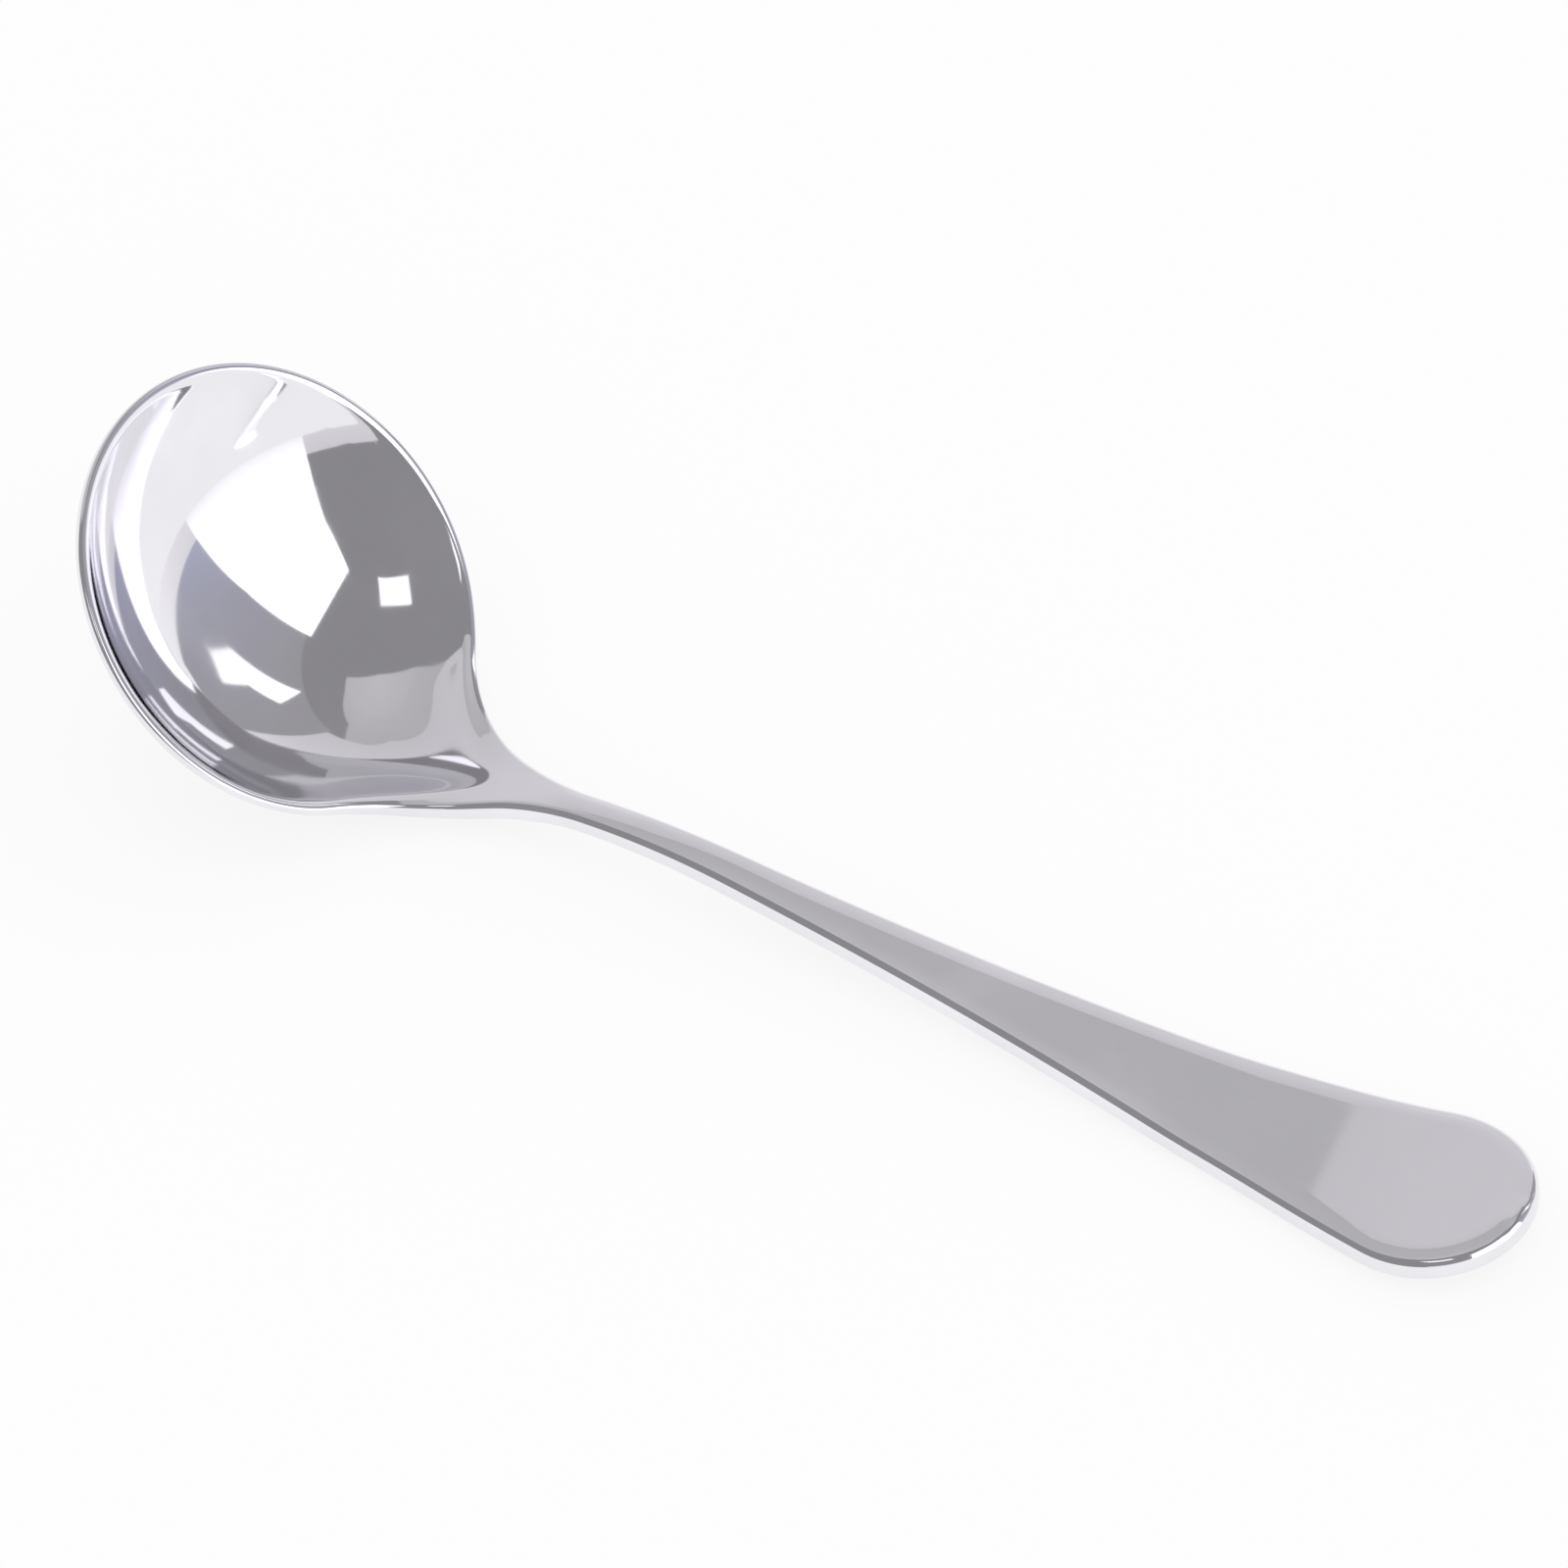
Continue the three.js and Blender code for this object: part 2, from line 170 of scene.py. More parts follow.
class SpoonStageLook(bpy.types.PropertyGroup):
    """Floor, light and camera."""

    floor_colour: colour("Floor", (0.94, 0.94, 0.94), "Colour of the floor")
    floor_size: length("Floor size", 6000, "Side of the square floor")
    floor_glow: share("Floor glow", 0.8, "Part of the floor's white that no shadow reaches")
    light: FloatProperty(name="Light", description="Strength of the surrounding light", default=1.0)
    room_grey: share("Room grey", 0.29, "Brightness of the room that the steel mirrors")
    card_tint: colour("Card tint", (0.99, 0.975, 1.0), "Tint of the room, its walls and its lamps")
    card_inset: length("Card inset", 20, "From the spoon's tip to the point that the cards stand round")
    card_height: length("Card height", 12, "Of that point above the table")
    camera_turn: angle("Camera turn", 29.185, "Round the spoon from its right-hand side")
    camera_height: angle("Camera height", 44.865, "Above the table")
    camera_roll: angle("Camera roll", 1.397, "About the line of sight")
    camera_distance: length("Camera distance", 597.3, "From the point it looks at")
    camera_lens: FloatProperty(name="Lens", description="Focal length", default=146.56, unit="CAMERA")
    camera_aim: FloatVectorProperty(
        name="Aim",
        description="Point in the middle of the picture",
        default=(-0.0052, 0.00441, 0.01448),
        subtype="TRANSLATION",
        unit="LENGTH",
    )


class TastingSpoon(bpy.types.PropertyGroup):
    """All that can be set on the spoon and its stage."""

    bowl: PointerProperty(type=SpoonBowlSizes, name="Bowl")
    handle: PointerProperty(type=SpoonHandleSizes, name="Handle")
    steel: PointerProperty(type=SpoonSteelLook, name="Steel")
    stage: PointerProperty(type=SpoonStageLook, name="Stage")


# Node trees

class Wire:
    """An output socket whose arithmetic adds Math nodes to its tree."""

    def __init__(self, nodes, socket):
        self.nodes = nodes
        self.socket = socket

    def math(self, operation, *values):
        return self.nodes.add("ShaderNodeMath", {"operation": operation}, dict(enumerate(values)))[0]

    def __add__(self, other):
        return self.math("ADD", self, other)

    def __radd__(self, other):
        return self.math("ADD", other, self)

    def __sub__(self, other):
        return self.math("SUBTRACT", self, other)

    def __rsub__(self, other):
        return self.math("SUBTRACT", other, self)

    def __mul__(self, other):
        return self.math("MULTIPLY", self, other)

    def __rmul__(self, other):
        return self.math("MULTIPLY", other, self)

    def limited(self, low, high):
        """Eased step from 0 at the low value to 1 at the high one."""
        sockets = {"Value": self, "From Min": low, "From Max": high}
        return self.nodes.add("ShaderNodeMapRange", {"interpolation_type": "SMOOTHSTEP"}, sockets)[0]


class Nodes:
    """Adds nodes to a tree."""

    def __init__(self, tree):
        self.tree = tree

    def add(self, kind, settings, sockets):
        """A new node with its settings and then its sockets' values or links; gives its enabled outputs."""
        node = self.tree.nodes.new(kind)
        for name, value in settings.items():
            setattr(node, name, value)
        for key, value in sockets.items():
            if isinstance(value, Wire):
                self.tree.links.new(value.socket, node.inputs[key])
            else:
                node.inputs[key].default_value = value
        return [Wire(self, socket) for socket in node.outputs if socket.enabled]


# Shape of the spoon

def smoothstep(values, low, high):
    share_done = np.clip((values - low) / (high - low), 0, 1)
    return share_done * share_done * (3 - 2 * share_done)


def soft_max(a, b, softness):
    """The larger of two depths, with the crease between them rounded."""
    overlap = np.maximum(1 - np.abs(a - b) / softness, 0)
    return np.maximum(a, b) + overlap * overlap * softness / 4


def arc_depth(half, sag, across):
    """Depth of an arc across the spoon that spans a half width and sags in the middle."""
    flat = (np.abs(sag) < TINY) | (half < TINY)
    safe_sag = np.where(flat, 1, sag)
    radius = (half ** 2 + safe_sag ** 2) / (2 * safe_sag)
    rest = np.sqrt(np.maximum(radius ** 2 - across ** 2, 0))
    depth = (half ** 2 - across ** 2) / (radius - safe_sag + np.sign(safe_sag) * rest)
    return np.where(flat, 0, depth)


class SpoonShape:
    """The flat blank's outline and depths, and the side line that it is bent along."""

    side_steps = 6000
    halvings = 50
    closing_power = 3
    least_crown = 0.001 * MM

    def __init__(self, bowl, handle):
        self.bowl = bowl
        self.handle = handle
        self.rim_radius = bowl.diameter / 2
        wall_drop = bowl.depth - bowl.rim_height
        edge = self.rim_radius - bowl.rim_round
        self.inner = (edge ** 2 + wall_drop ** 2 - bowl.wall ** 2) / (2 * (bowl.wall + wall_drop))
        self.outer = self.inner + bowl.wall
        self.centre_height = self.inner - bowl.depth
        self.rim_width = self.rim_radius - math.sqrt(self.inner ** 2 - self.centre_height ** 2)
        self.length = bowl.diameter + handle.length
        self.heel_start = bowl.diameter - bowl.heel_setback
        self.heel_end = bowl.diameter + bowl.heel_reach
        self.ease_start = (self.rim_radius + self.heel_start) / 2
        self.draw_outline()
        self.rim_middle = 0
        self.draw_side(0)
        self.find_floors()
        self.rim_middle = -self.lowest_sole()
        self.find_fall()
        self.find_floors()

    def draw_outline(self):
        handle = self.handle
        shoulder = handle.shoulder_angle
        self.neck_half = handle.neck_width / 2
        self.end_radius = handle.end_width / 2
        self.end_middle = self.length - self.end_radius
        self.shoulder_axis = self.neck_half + handle.shoulder_radius
        self.rim_leaves = self.rim_radius * np.array([1 + math.sin(shoulder), math.cos(shoulder)])
        foot = self.shoulder_axis - handle.shoulder_radius * math.cos(shoulder)
        flank = (self.rim_leaves[1] - foot) / math.tan(shoulder)
        self.shoulder_starts = np.array([self.rim_leaves[0] + flank, foot])
        self.neck_at = self.shoulder_starts[0] + handle.shoulder_radius * math.sin(shoulder)
        flare = handle.flare_angle
        outward = np.array([-math.sin(flare), math.cos(flare)])
        self.end_starts = np.array([self.end_middle, 0]) + self.end_radius * outward
        self.flare_turns = self.end_starts[0] - (self.end_starts[1] - self.neck_half) / math.tan(flare)

    def draw_side(self, fall):
        """Side line: along the rim plane, up at the heel, over the arch, down to the flat, up at the end."""
        bowl = self.bowl
        handle = self.handle
        climb = bowl.rim_tilt + handle.neck_rise
        drop = handle.neck_rise + fall
        lengths = [
            self.heel_start,
            climb * bowl.heel_radius,
            drop * handle.arch_radius,
            0,
            abs(fall) * handle.rest_radius,
            handle.rest_length,
            handle.curl_length,
        ]
        turns = [0, climb, -drop, 0, fall, 0, handle.curl_length / handle.curl_radius]
        lengths[3] = self.length - sum(lengths)
        knots = np.concatenate([[0], np.cumsum(lengths)])
        slopes = np.concatenate([[0], np.cumsum(turns)]) - bowl.rim_tilt
        step = self.length / self.side_steps
        reach = int(handle.bend_blend / step / 2)
        places = step * np.arange(-reach, self.side_steps + reach + 1)
        window = np.hanning(2 * reach + 3)[1:-1]
        slope = np.convolve(np.interp(places, knots, slopes), window / window.sum(), "valid")
        middle = (slope[1:] + slope[:-1]) / 2
        top = self.rim_middle + self.rim_radius * math.sin(bowl.rim_tilt)
        self.side_u = step * np.arange(self.side_steps + 1)
        self.side_x = np.concatenate([[0], np.cumsum(np.cos(middle))]) * step
        self.side_z = np.concatenate([[0], np.cumsum(np.sin(middle))]) * step + top
        self.side_slope = slope
        self.rest_at = self.length - handle.curl_length - handle.rest_length / 2

    def find_fall(self):
        """The handle falls from its arch by the angle that brings its flat stretch down to the table."""
        low = -self.handle.neck_rise / 2
        high = self.handle.neck_rise
        for _ in range(self.halvings):
            fall = (low + high) / 2
            self.draw_side(fall)
            if np.interp(self.rest_at, self.side_u, self.side_z) > self.handle.thickness:
                low = fall
            else:
                high = fall

    def place(self, u, lift):
        """Place in the side view of a point that far above the side line."""
        slope = np.interp(u, self.side_u, self.side_slope)
        x = np.interp(u, self.side_u, self.side_x) - lift * np.sin(slope)
        return x, np.interp(u, self.side_u, self.side_z) + lift * np.cos(slope)

    def floor_line(self, depth, end, slope, sag):
        """From under the rim's middle on a curve to a point of the neck, lower by the sag halfway."""
        x0, z0 = self.place(self.rim_radius, -depth)
        run = end[0] - x0
        start_slope = -math.tan(self.bowl.rim_tilt)

        def height(x):
            t = (x - x0) / run
            rest = 1 - t
            fall = (1 + 2 * t) * rest * rest * z0 + t * rest * rest * run * start_slope
            climb = t * t * (3 - 2 * t) * end[1] - t * t * rest * run * slope
            return fall + climb - 16 * sag * t * t * rest * rest

        return height

    def find_floors(self):
        heel = self.place(self.heel_end, 0)
        neck = self.place(self.neck_at, -self.handle.neck_thickness)
        neck_slope = np.interp(self.neck_at, self.side_u, self.side_slope)
        lip_slope = math.tan(self.handle.neck_rise + self.bowl.heel_lip)
        self.hollow_floor = self.floor_line(self.bowl.depth, heel, lip_slope, self.bowl.heel_depth)
        sole_depth = self.bowl.depth + self.bowl.wall
        self.sole = self.floor_line(sole_depth, neck, math.tan(neck_slope), self.bowl.sole_depth)

    def lowest_sole(self):
        start, _ = self.place(self.rim_radius, -self.bowl.depth - self.bowl.wall)
        end, _ = self.place(self.neck_at, -self.handle.neck_thickness)
        return self.sole(np.linspace(start, end, self.side_steps)).min()

    def depth_to(self, line, u):
        """Depth below the side line at which a floor line passes."""
        low = np.zeros_like(u)
        high = np.full_like(u, self.bowl.depth + self.outer)
        for _ in range(self.halvings):
            depth = (low + high) / 2
            x, z = self.place(u, -depth)
            above = z > line(x)
            low = np.where(above, depth, low)
            high = np.where(above, high, depth)
        return high

    def hollow_half(self, u):
        """Half width of the hollow: the outline drawn in by the rim and closed at its end."""
        shoulder = self.handle.shoulder_angle
        circle = self.rim_radius - self.rim_width
        bend = self.handle.shoulder_radius + self.rim_width
        bend_start = self.neck_at - bend * math.sin(shoulder)
        run = np.clip((u - self.heel_start) / (self.heel_end - self.heel_start), 0, 1)
        closing = np.sqrt(1 - run ** self.closing_power)
        round_part = np.sqrt(np.maximum(circle ** 2 - (u - self.rim_radius) ** 2, 0))
        back = np.minimum(u - self.neck_at, 0)
        bent_part = self.shoulder_axis - np.sqrt(np.maximum(bend ** 2 - back ** 2, 0))
        straight_part = self.shoulder_axis - bend * math.cos(shoulder) + (bend_start - u) * math.tan(shoulder)
        half = np.where(u > bend_start, bent_part, straight_part) * closing
        return np.where(u < self.rim_radius + circle * math.sin(shoulder), round_part, half)

    def sphere_depth(self, radius, u, across):
        reach = np.minimum(np.hypot(u - self.rim_radius, across), radius)
        return np.sqrt(radius ** 2 - reach ** 2) - self.centre_height

    def top_depth(self, rows, u, across):
        """Depth of the top: the bowl's hollow and the handle's rounded-over edges."""
        row_u = rows["inset_u"][:, None]
        row_half = rows["half"][:, None]
        in_bowl = row_u < self.rim_radius
        half = self.hollow_half(row_u)
        channel = arc_depth(half, self.depth_to(self.hollow_floor, row_u), across)
        aside = np.clip(1 - (across / np.maximum(half, TINY)) ** 2, 0, 1)
        ease = self.bowl.heel_ease * smoothstep(row_u, self.ease_start, self.heel_end)
        channel = np.where(channel > 0, channel * aside ** ease, channel)
        channel = np.where(row_u < self.heel_end, channel, 0)
        hollow = np.where(in_bowl, self.sphere_depth(self.inner, u, across), channel)
        fade = 1 - smoothstep(row_u, self.heel_start, self.heel_end)
        softness = self.bowl.heel_blend + (self.bowl.lip_blend - self.bowl.heel_blend) * fade
        run_out = softness / 4 * (1 - smoothstep(row_u, self.heel_end, self.neck_at))
        lipped = np.where(row_u < self.heel_end, soft_max(hollow, 0, softness), run_out)
        side_gap = (row_half - np.abs(across)) * rows["out_y"][:, None]
        end_gap = self.end_radius - np.hypot(u - self.end_middle, across)
        gap = np.where(row_u > self.end_middle, end_gap, side_gap)
        width = np.maximum(np.minimum(self.handle.crown_width, row_half), self.least_crown)
        over = np.maximum(1 - gap / width, 0)
        drop = self.handle.crown_drop * smoothstep(row_u, self.heel_end, self.neck_at)
        return lipped + drop * over * over

    def under_depth(self, rows, u, across):
        """Depth of the underside."""
        handle = self.handle
        row_u = rows["inset_u"][:, None]
        to_neck = smoothstep(row_u, self.ease_start, self.neck_at)
        to_handle = smoothstep(row_u, self.neck_at, self.neck_at + handle.taper)
        necked = (handle.neck_thickness - self.bowl.rim_height) * to_neck
        edge = self.bowl.rim_height + necked + (handle.thickness - handle.neck_thickness) * to_handle
        sag = np.where(row_u < self.neck_at, self.depth_to(self.sole, row_u) - edge, 0)
        channel = edge + arc_depth(rows["inset_half"][:, None], sag, across)
        return np.where(row_u < self.rim_radius, self.sphere_depth(self.outer, u, across), channel)


class BlankMesh:
    """Fine mesh of the flat blank: rows from its middle to its outline, over the edge and back beneath."""

    rim_rows = 130
    flank_rows = 6
    shoulder_rows = 90
    flare_rows = 110
    end_rows = 44
    inner_columns = 26
    edge_columns = 12
    edge_zone = 2.6 * MM
    widest_zone = 0.45
    under_columns = 26
    corner_columns = 6
    merge_digits = 9

    def __init__(self, shape):
        self.shape = shape
        self.rows = self.outline_rows()
        self.points = self.row_points()

    def outline_rows(self):
        shape = self.shape
        handle = shape.handle
        shoulder = handle.shoulder_angle
        turn = np.linspace(math.pi, math.pi / 2 - shoulder, self.rim_rows + 1)
        outward = np.array([np.cos(turn), np.sin(turn)])
        rim = np.vstack([shape.rim_radius * (outward + [[1], [0]]), outward])

        t = np.linspace(0, 1, self.flank_rows + 1)[1:]
        flank_at = shape.rim_leaves[:, None] + np.outer(shape.shoulder_starts - shape.rim_leaves, t)
        outward = np.array([[math.sin(shoulder)], [math.cos(shoulder)]])
        flank = np.vstack([flank_at, outward * np.ones_like(t)])

        turn = np.linspace(1.5 * math.pi - shoulder, 1.5 * math.pi, self.shoulder_rows + 1)[1:]
        radius = handle.shoulder_radius
        inward = np.array([np.cos(turn), np.sin(turn)])
        bend = np.vstack([radius * inward + [[shape.neck_at], [shape.shoulder_axis]], -inward])

        t = np.linspace(0, 1, self.flare_rows + 1)[1:]
        start = np.array([shape.neck_at, shape.neck_half])[:, None]
        control = np.array([shape.flare_turns, shape.neck_half])[:, None]
        end = shape.end_starts[:, None]
        flare_at = (1 - t) ** 2 * start + 2 * t * (1 - t) * control + t ** 2 * end
        run = (1 - t) * (control - start) + t * (end - control)
        run /= np.hypot(*run)
        flare = np.vstack([flare_at, -run[1], run[0]])

        turn = np.linspace(math.pi / 2 + handle.flare_angle, 0, self.end_rows + 1)[1:]
        outward = np.array([np.cos(turn), np.sin(turn)])
        nose = np.vstack([shape.end_radius * outward + [[shape.end_middle], [0]], outward])

        u, half, out_u, out_y = np.hstack([rim, flank, bend, flare, nose])
        half[[0, -1]] = 0
        out_y[[0, -1]] = 0
        fade = smoothstep(u, shape.heel_start, shape.neck_at)
        corner = shape.bowl.rim_round + (handle.edge_round - shape.bowl.rim_round) * fade
        rows = {"u": u, "half": half, "out_u": out_u, "out_y": out_y, "corner": corner}
        rows["inset_u"] = u - corner * out_u
        rows["inset_half"] = np.maximum(half - corner * out_y, 0)
        rows["spine"] = np.clip(rows["inset_u"], shape.rim_radius, shape.end_middle)
        return rows

    def row_points(self):
        """Flat points of each row's right half, from the middle of the top to the middle of the underside."""
        rows = self.rows
        shape = self.shape
        reach_u = rows["inset_u"] - rows["spine"]
        reach_y = rows["inset_half"]
        reach = np.hypot(reach_u, reach_y)
        zone = np.minimum(self.edge_zone / np.maximum(reach, TINY), self.widest_zone)[:, None]
        inward = np.linspace(0, 1, self.inner_columns + 1)[None, :-1] * (1 - zone)
        outward = 1 - zone + zone * np.linspace(0, 1, self.edge_columns + 1)[None]
        stations = np.hstack([inward, outward])
        top_u = rows["spine"][:, None] + reach_u[:, None] * stations
        top_y = reach_y[:, None] * stations
        top = np.stack([top_u, top_y, -shape.top_depth(rows, top_u, top_y)], -1)

        stations = np.linspace(1, 0, self.under_columns + 1)[None]
        under_u = rows["spine"][:, None] + reach_u[:, None] * stations
        under_y = reach_y[:, None] * stations
        under = np.stack([under_u, under_y, -shape.under_depth(rows, under_u, under_y)], -1)

        corner = rows["corner"][:, None]
        turned = np.linspace(0, math.pi / 2, self.corner_columns + 1)[None, 1:]
        upper = self.corner_points(turned, top[:, -1, 2][:, None] - corner)
        lower = self.corner_points(math.pi - turned[:, ::-1], under[:, 0, 2][:, None] + corner)
        return np.concatenate([top, upper, lower, under], 1)

    def corner_points(self, turned, middle):
        rows = self.rows
        corner = rows["corner"][:, None]
        inset = corner * (1 - np.sin(turned))
        u = rows["u"][:, None] - inset * rows["out_u"][:, None]
        y = np.maximum(rows["half"][:, None] - inset * rows["out_y"][:, None], 0)
        return np.stack([u, y, middle + corner * np.cos(turned)], -1)

    def build(self, name):
        """Mesh of both halves, with the points that meet merged into one."""
        right = self.points
        left = (right * np.array([1, -1, 1]))[:, -2:0:-1]
        rings = np.concatenate([right, left], 1)
        count = rings.shape[1]
        index = np.arange(rings.shape[0] * count).reshape(rings.shape[:2])
        ahead = np.roll(index, -1, 1)
        faces = np.stack([index[:-1], index[1:], ahead[1:], ahead[:-1]], -1).reshape(-1, 4)
        rounded = np.round(rings.reshape(-1, 3), self.merge_digits)
        merged, where = np.unique(rounded, axis=0, return_inverse=True)
        faces = where.reshape(-1)[faces]
        polygons = [list(dict.fromkeys(face)) for face in faces.tolist()]
        mesh = bpy.data.meshes.new(name)
        mesh.from_pydata(merged.tolist(), [], [polygon for polygon in polygons if len(polygon) > 2])
        mesh.validate()
        return mesh


def side_line_object(shape):
    """Curve that the blank is bent along, with the origin under the spoon's middle."""
    line = bpy.data.curves.new("side line", "CURVE")
    line.dimensions = "3D"
    spline = line.splines.new("POLY")
    spline.points.add(len(shape.side_u) - 1)
    points = np.zeros((len(shape.side_u), 4))
    points[:, 0] = shape.side_x
    points[:, 2] = shape.side_z
    points[:, 3] = 1
    spline.points.foreach_set("co", points.ravel())
    curve = bpy.data.objects.new("side line", line)
    bpy.context.scene.collection.objects.link(curve)
    return curve


def bending_tree():
    """Bends a flat blank along a side line and gives it the slow waves that polishing leaves."""
    tree = bpy.data.node_groups.new("Press the blank", "GeometryNodeTree")
    for name, kind in (
        ("Blank", "NodeSocketGeometry"),
        ("Side line", "NodeSocketObject"),
        ("Shift", "NodeSocketFloat"),
        ("Wave height", "NodeSocketFloat"),
        ("Wave size", "NodeSocketFloat"),
        ("Steel", "NodeSocketMaterial"),
    ):
        tree.interface.new_socket(name, in_out="INPUT", socket_type=kind)
    tree.interface.new_socket("Spoon", in_out="OUTPUT", socket_type="NodeSocketGeometry")
    nodes = Nodes(tree)
    blank, side_line, shift, wave_height, wave_size, steel = nodes.add("NodeGroupInput", {}, {})[:6]
    line = nodes.add("GeometryNodeObjectInfo", {}, {"Object": side_line})[-1]
    flat = nodes.add("GeometryNodeInputPosition", {}, {})[0]
    u, y, lift = nodes.add("ShaderNodeSeparateXYZ", {}, {0: flat})
    sampled = nodes.add("GeometryNodeSampleCurve", {"mode": "LENGTH"}, {"Curves": line, "Length": u})
    middle, tangent = sampled[1:3]
    middle_x, _, middle_z = nodes.add("ShaderNodeSeparateXYZ", {}, {0: middle})
    along_x, _, along_z = nodes.add("ShaderNodeSeparateXYZ", {}, {0: tangent})
    x = middle_x - lift * along_z + shift
    z = middle_z + lift * along_x
    bent = nodes.add("ShaderNodeCombineXYZ", {}, {0: x, 1: y, 2: z})[0]
    pressed = nodes.add("GeometryNodeSetPosition", {}, {"Geometry": blank, "Position": bent})[0]
    place = nodes.add("GeometryNodeInputPosition", {}, {})[0]
    normal = nodes.add("GeometryNodeInputNormal", {}, {})[0]
    scale = nodes.add("ShaderNodeMath", {"operation": "DIVIDE"}, {0: 1.0, 1: wave_size})[0]
    noise = nodes.add("ShaderNodeTexNoise", {}, {"Vector": place, "Scale": scale, "Detail": 1.0})[0]
    height = (noise - 0.5) * wave_height
    offset = nodes.add("ShaderNodeVectorMath", {"operation": "SCALE"}, {0: normal, "Scale": height})[0]
    waved = nodes.add("GeometryNodeSetPosition", {}, {"Geometry": pressed, "Offset": offset})[0]
    smooth = nodes.add("GeometryNodeSetShadeSmooth", {}, {"Geometry": waved})[0]
    whole = nodes.add("GeometryNodeRealizeInstances", {}, {"Geometry": smooth})[0]
    coated = nodes.add("GeometryNodeSetMaterial", {}, {"Geometry": whole, "Material": steel})[0]
    nodes.add("NodeGroupOutput", {}, {0: coated})
    return tree


def polished_steel(look):
    """Mirror-polished steel with dull smudges and fine polishing lines."""
    object_output = 3
    smudge_scale = 90.0
    smudge_limits = (0.45, 0.75)
    line_scale = (60, 4000, 900)
    line_limits = (0.6, 0.8)
    paler = 1.06
    material = bpy.data.materials.new("polished steel")
    material.use_nodes = True
    tree = material.node_tree
    tree.nodes.clear()
    nodes = Nodes(tree)
    place = nodes.add("ShaderNodeTexCoord", {}, {})[object_output]
    smudges = nodes.add("ShaderNodeTexNoise", {}, {"Vector": place, "Scale": smudge_scale, "Detail": 3.0})[0]
    dull = smudges.limited(*smudge_limits)
    stretched = nodes.add("ShaderNodeMapping", {}, {"Vector": place, "Scale": line_scale})[0]
    lines = nodes.add("ShaderNodeTexNoise", {}, {"Vector": stretched, "Scale": 1.0, "Detail": 2.0})[0]
    scratch = lines.limited(*line_limits)
    roughness = look.roughness + dull * look.smudge + scratch * look.scratch
    tint = (*look.tint, 1)
    pale = (*(min(value * paler, 1) for value in look.tint), 1)
    colours = {"Factor": dull, "A": tint, "B": pale}
    steel = nodes.add("ShaderNodeMix", {"data_type": "RGBA"}, colours)[0]
    shader = nodes.add(
        "ShaderNodeBsdfPrincipled",
        {},
        {"Base Color": steel, "Metallic": 1.0, "Roughness": roughness},
    )[0]
    nodes.add("ShaderNodeOutputMaterial", {}, {"Surface": shader})
    return material


class SPOON_OT_press(bpy.types.Operator):
    """Press the spoon from its blank and polish it"""

    bl_idname = "spoon.press"
    bl_label = "Press the spoon"

    def execute(self, context):
        sizes = context.scene.tasting_spoon
        shape = SpoonShape(sizes.bowl, sizes.handle)
        blank = BlankMesh(shape)
        spoon = bpy.data.objects.new("spoon", blank.build("spoon blank"))
        context.scene.collection.objects.link(spoon)
        line = side_line_object(shape)
        steel = polished_steel(sizes.steel)
        points = blank.points
        bent_x, _ = shape.place(points[..., 0], points[..., 2])
        tree = bending_tree()
        bend = spoon.modifiers.new("Press", "NODES")
        bend.node_group = tree
        values = {
            "Side line": line,
            "Shift": float(-(bent_x.min() + bent_x.max()) / 2),
            "Wave height": sizes.steel.wave_height,
            "Wave size": sizes.steel.wave_size,
            "Steel": steel,
        }
        for socket in tree.interface.items_tree:
            if socket.in_out == "INPUT" and socket.name in values:
                bend[socket.identifier] = values[socket.name]
        depsgraph = context.evaluated_depsgraph_get()
        pressed = bpy.data.meshes.new_from_object(spoon.evaluated_get(depsgraph), depsgraph=depsgraph)
        spoon.modifiers.clear()
        spoon.data = pressed
        bpy.data.objects.remove(line)
        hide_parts("bowl", "handle")
        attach(spoon, "root")
        return {"FINISHED"}


def floor_material(look):
    """Pale floor that shows white and keeps a soft shadow."""
    material = bpy.data.materials.new("pale floor")
    material.use_nodes = True
    tree = material.node_tree
    tree.nodes.clear()
    nodes = Nodes(tree)
    lit = nodes.add("ShaderNodeBsdfDiffuse", {}, {"Color": (*look.floor_colour, 1)})[0]
    glow = nodes.add("ShaderNodeEmission", {}, {"Color": (1, 1, 1, 1), "Strength": 1.0})[0]
    seen = seen_directly(nodes)
    mixed = nodes.add("ShaderNodeMixShader", {}, {0: seen * look.floor_glow, 1: lit, 2: glow})[0]
    nodes.add("ShaderNodeOutputMaterial", {}, {"Surface": mixed})
    return material


def seen_directly(nodes):
    """1 for what the camera, a mirror or glass shows, and 0 for light that falls on a surface."""
    node = nodes.tree.nodes.new("ShaderNodeLightPath")
    kinds = ("Is Camera Ray", "Is Glossy Ray", "Is Transmission Ray")
    camera, glossy, through = (Wire(nodes, node.outputs[kind]) for kind in kinds)
    sockets = {0: camera, 1: glossy + through}
    return nodes.add("ShaderNodeMath", {"operation": "ADD", "use_clamp": True}, sockets)[0]


def glowing_card():
    """Plain light from a card, as bright as its glow attribute says."""
    material = bpy.data.materials.new("studio card")
    material.use_nodes = True
    material.cycles.emission_sampling = "NONE"
    tree = material.node_tree
    tree.nodes.clear()
    nodes = Nodes(tree)
    glow = nodes.add("ShaderNodeAttribute", {"attribute_name": "glow"}, {})[0]
    light = nodes.add("ShaderNodeEmission", {}, {"Color": glow, "Strength": 1.0})[0]
    nodes.add("ShaderNodeOutputMaterial", {}, {"Surface": light})
    return material


def towards(turns, heights):
    """Directions from turns round and heights above the table, in degrees."""
    turn = np.radians(turns)
    height = np.radians(heights)
    return np.stack([np.cos(height) * np.cos(turn), np.cos(height) * np.sin(turn), np.sin(height)], -1)


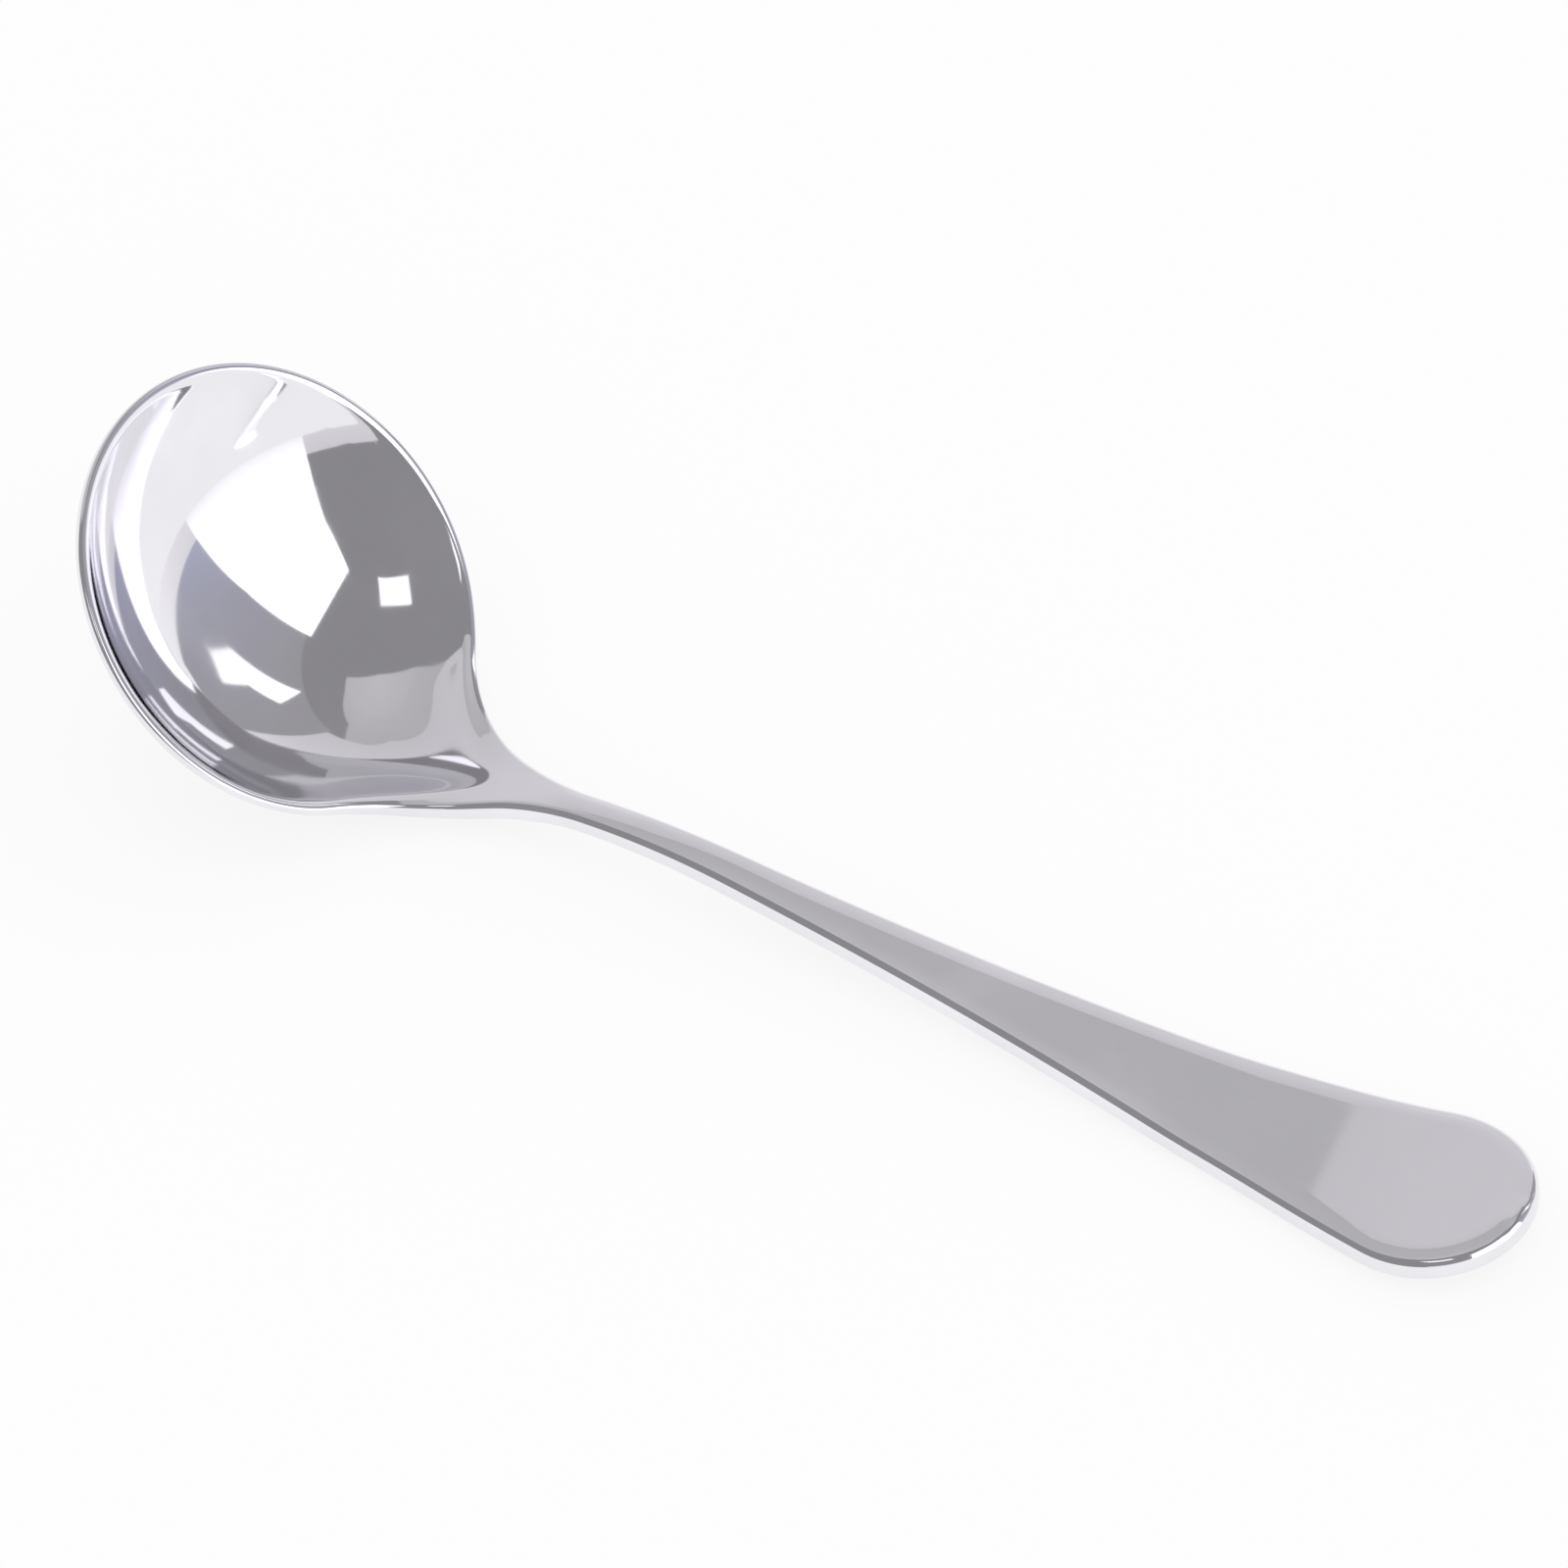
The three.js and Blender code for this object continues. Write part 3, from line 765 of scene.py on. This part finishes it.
def card_object(name, card, flat, look, material):
    """Card round the bowl, flat or curved about it, which only mirrors show."""
    columns, rows = 36, 8
    corners, glows, distance = card
    across, up = np.meshgrid(np.linspace(0, 1, columns + 1), np.linspace(0, 1, rows + 1))
    shares = np.stack([(1 - across) * (1 - up), across * (1 - up), across * up, (1 - across) * up], -1)
    shares = shares.reshape(-1, 4)
    turns, heights = np.array(corners, float).T
    outward = shares @ towards(turns, heights) if flat else towards(shares @ turns, shares @ heights)
    points = np.array([cad_bounds[0][0] + look.card_inset, 0, look.card_height]) + distance * outward
    index = np.arange(len(points)).reshape(rows + 1, columns + 1)
    faces = np.stack([index[:-1, :-1], index[:-1, 1:], index[1:, 1:], index[1:, :-1]], -1).reshape(-1, 4)
    mesh = bpy.data.meshes.new(name)
    mesh.from_pydata(points.tolist(), [], faces.tolist())
    corner_glows = np.array([np.broadcast_to(glow, 3) for glow in glows])
    glow = np.ones((len(points), 4))
    glow[:, :3] = shares @ corner_glows * np.array(look.card_tint)
    mesh.attributes.new("glow", "FLOAT_COLOR", "POINT").data.foreach_set("color", glow.ravel())
    mesh.materials.append(material)
    piece = bpy.data.objects.new(name, mesh)
    piece.visible_camera = False
    piece.visible_diffuse = False
    piece.visible_transmission = False
    piece.visible_shadow = False
    bpy.context.scene.collection.objects.link(piece)


class SPOON_OT_stage(bpy.types.Operator):
    """Set the floor, the light and the camera"""

    bl_idname = "spoon.stage"
    bl_label = "Set the stage"

    def execute(self, context):
        look = context.scene.tasting_spoon.stage
        self.lay_floor(look)
        self.hang_cards(look)
        self.light_world(look)
        self.place_camera(look)
        context.scene.view_settings.view_transform = "Standard"
        return {"FINISHED"}

    def lay_floor(self, look):
        side = look.floor_size / 2
        mesh = bpy.data.meshes.new("floor")
        corners = [(-side, -side, 0), (side, -side, 0), (side, side, 0), (-side, side, 0)]
        mesh.from_pydata(corners, [], [(0, 1, 2, 3)])
        mesh.materials.append(floor_material(look))
        floor = bpy.data.objects.new("floor", mesh)
        bpy.context.scene.collection.objects.link(floor)

    def hang_cards(self, look):
        material = glowing_card()
        room = (ROOM_CORNERS, (look.room_grey,) * 4, ROOM_DISTANCE)
        card_object("room", room, False, look, material)
        for name, card in WALLS.items():
            card_object(name, card, False, look, material)
        for name, card in LAMPS.items():
            card_object(name, card, True, look, material)

    def light_world(self, look):
        world = bpy.data.worlds.new("studio")
        bpy.context.scene.world = world
        world.use_nodes = True
        world.node_tree.nodes.clear()
        nodes = Nodes(world.node_tree)
        sky = nodes.add("ShaderNodeBackground", {}, {"Color": (1, 1, 1, 1), "Strength": look.light})[0]
        nodes.add("ShaderNodeOutputWorld", {}, {"Surface": sky})

    def place_camera(self, look):
        turn, height, roll = look.camera_turn, look.camera_height, look.camera_roll
        level = math.cos(height)
        back = Vector((math.sin(turn) * level, -math.cos(turn) * level, math.sin(height)))
        right = Vector((math.cos(turn), math.sin(turn), 0))
        up = back.cross(right)
        rolled_right = math.cos(roll) * right + math.sin(roll) * up
        rolled_up = math.cos(roll) * up - math.sin(roll) * right
        data = bpy.data.cameras.new("camera")
        data.lens = look.camera_lens
        camera = bpy.data.objects.new("camera", data)
        turned = Matrix((rolled_right, rolled_up, back)).transposed()
        eye = Vector(look.camera_aim) + back * look.camera_distance
        camera.matrix_world = Matrix.Translation(eye) @ turned.to_4x4()
        bpy.context.scene.collection.objects.link(camera)
        bpy.context.scene.camera = camera


class SPOON_PT_panel(bpy.types.Panel):
    """Sizes, looks and making of the tasting spoon"""

    bl_idname = "SPOON_PT_panel"
    bl_label = "Tasting spoon"
    bl_space_type = "VIEW_3D"
    bl_region_type = "UI"
    bl_category = "Spoon"

    def draw(self, context):
        sizes = context.scene.tasting_spoon
        for group in (sizes.bowl, sizes.handle, sizes.steel, sizes.stage):
            box = self.layout.box()
            for name in group.__annotations__:
                box.prop(group, name)
        for operator in (SPOON_OT_press, SPOON_OT_stage):
            self.layout.operator(operator.bl_idname)


CLASSES = (
    SpoonBowlSizes,
    SpoonHandleSizes,
    SpoonSteelLook,
    SpoonStageLook,
    TastingSpoon,
    SPOON_OT_press,
    SPOON_OT_stage,
    SPOON_PT_panel,
)


def register():
    for cls in CLASSES:
        bpy.utils.register_class(cls)
    bpy.types.Scene.tasting_spoon = PointerProperty(type=TastingSpoon)


def unregister():
    del bpy.types.Scene.tasting_spoon
    for cls in reversed(CLASSES):
        bpy.utils.unregister_class(cls)


def main():
    register()
    bpy.ops.spoon.press()
    bpy.ops.spoon.stage()
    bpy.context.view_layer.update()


if __name__ == "__main__":
    main()
